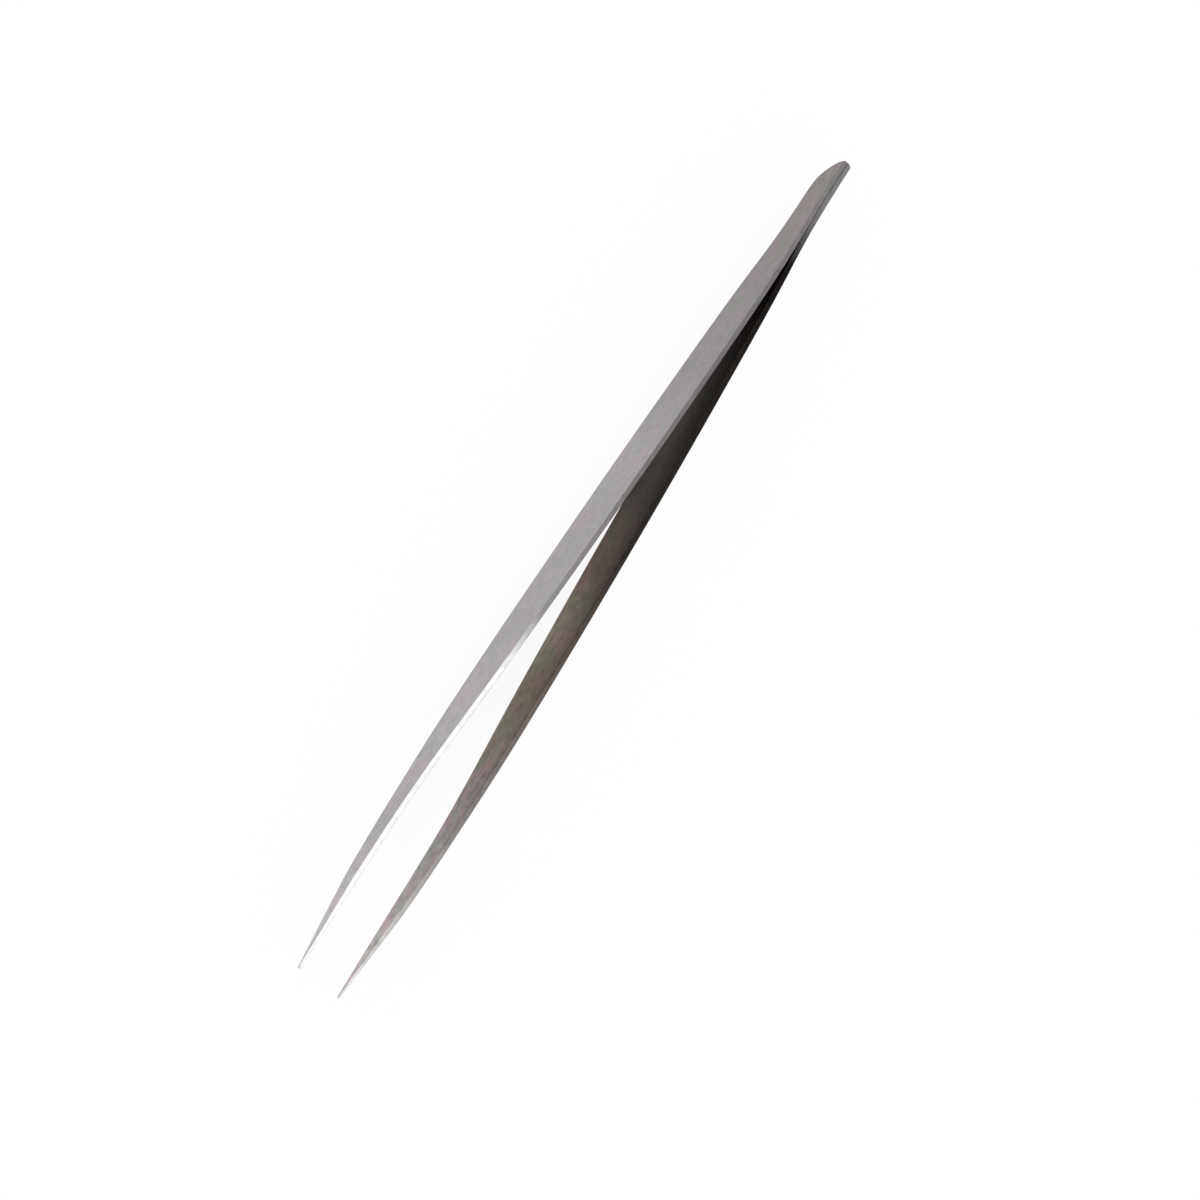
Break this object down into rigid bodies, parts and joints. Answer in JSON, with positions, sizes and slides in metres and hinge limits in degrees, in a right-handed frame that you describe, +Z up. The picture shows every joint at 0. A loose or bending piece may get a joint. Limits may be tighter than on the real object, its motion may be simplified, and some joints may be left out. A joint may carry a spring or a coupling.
{
  "type": "straight tweezers",
  "caption": "Straight fine-point tweezers: slim sprung steel arms joined flat at a head that ends on a slant with rounded corners, bowed apart along the grip and tapering to needle tips.",
  "frame": {"origin": "on the surface that the tweezers lie on, under the middle of their length and opening", "axes": "+X from the head to the tips, Y across the opening between the arms, +Z up along the width of the blanks, because the tweezers lie on their long edges"},
  "size_m": [0.1396, 0.0094, 0.0093],
  "materials": {
    "satin_steel": "satin, finely brushed, with brighter ground edges"
  },
  "bodies": {
    "root": {"front_arm": "satin_steel", "back_arm": "satin_steel"}
  },
  "joints": []
}
